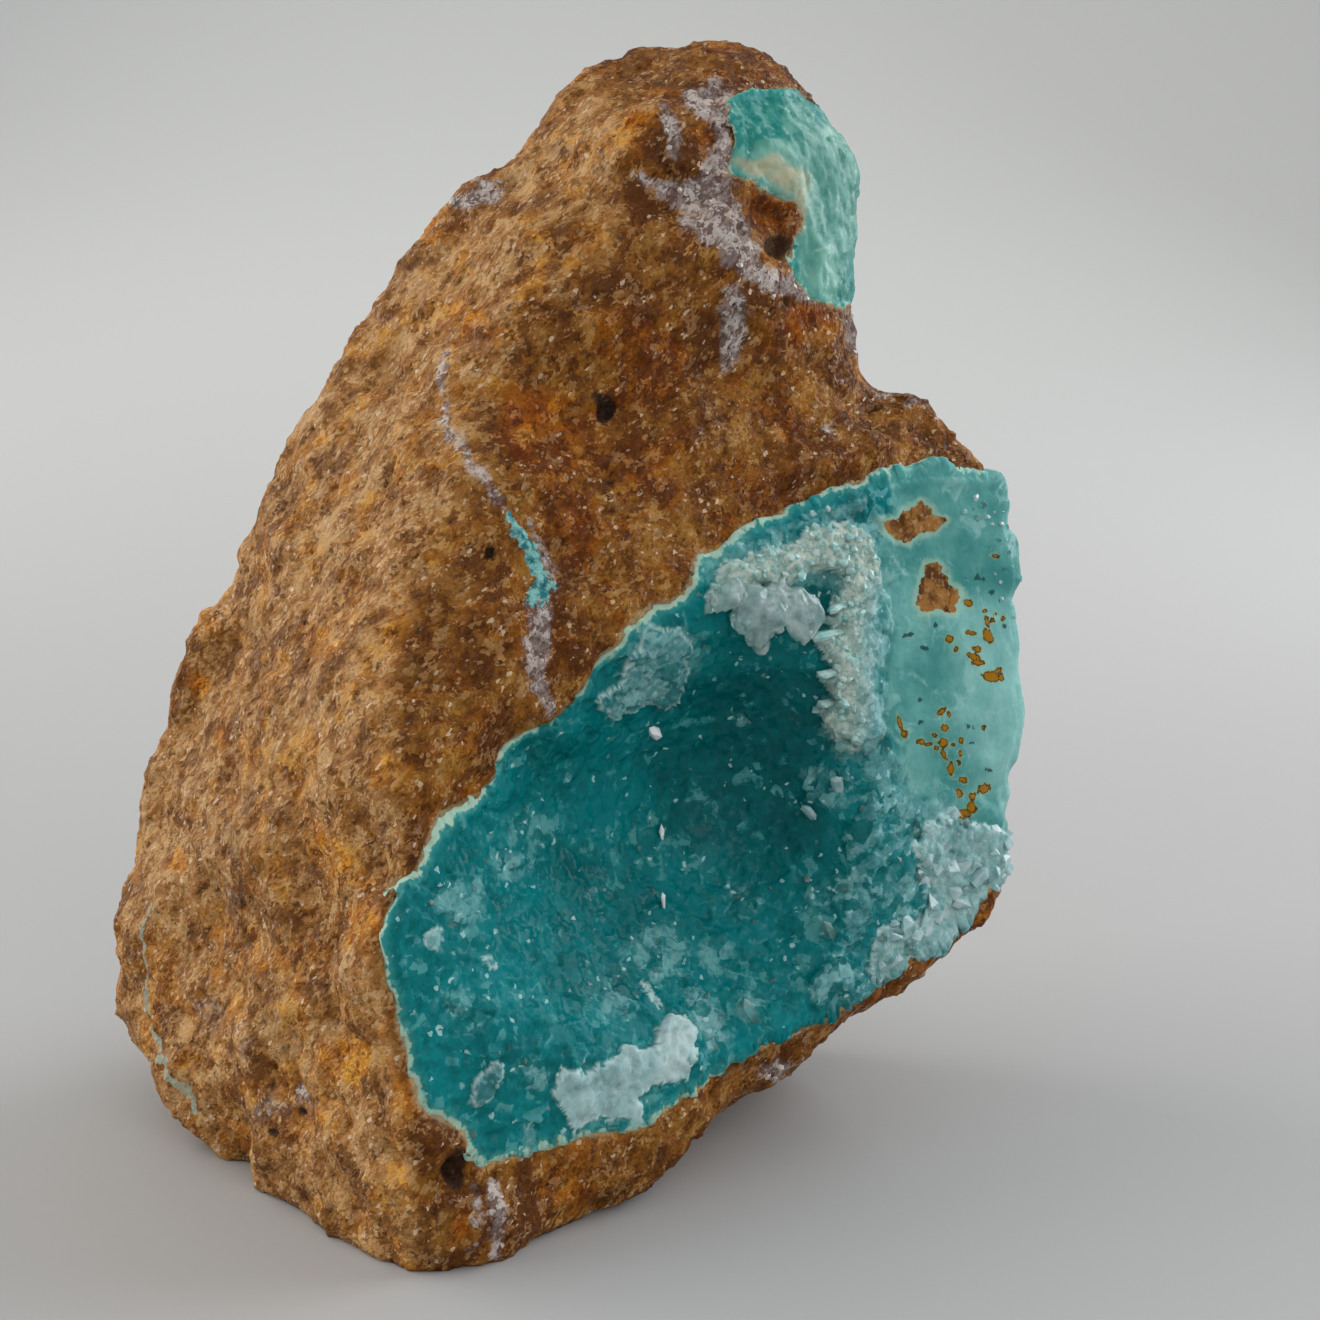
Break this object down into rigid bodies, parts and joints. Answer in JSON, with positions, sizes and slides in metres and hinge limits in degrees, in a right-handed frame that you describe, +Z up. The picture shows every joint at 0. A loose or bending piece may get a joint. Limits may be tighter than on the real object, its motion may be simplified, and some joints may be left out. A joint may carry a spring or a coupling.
{
  "type": "chrysocolla mineral specimen",
  "caption": "Upright block of iron-stained host rock broken across a pocket of blue-green chrysocolla lined with fine quartz crystals.",
  "frame": {"origin": "on the flat underside, in the middle of the specimen's box", "axes": "+Z up from the flat underside to the top of the block; the broken chrysocolla face looks towards -Y and +X"},
  "size_m": [0.0692, 0.0496, 0.0801],
  "materials": {
    "host_rock": "rough, grainy, broken surface with iron staining",
    "chrysocolla": "waxy to glassy broken surface, slightly translucent",
    "quartz": "fine sparkling crystal faces over the blue-green mineral"
  },
  "bodies": {
    "root": {"host_rock": "host_rock", "chrysocolla_face": "chrysocolla", "chrysocolla_patch": "chrysocolla", "quartz_crust": "quartz"}
  },
  "joints": []
}
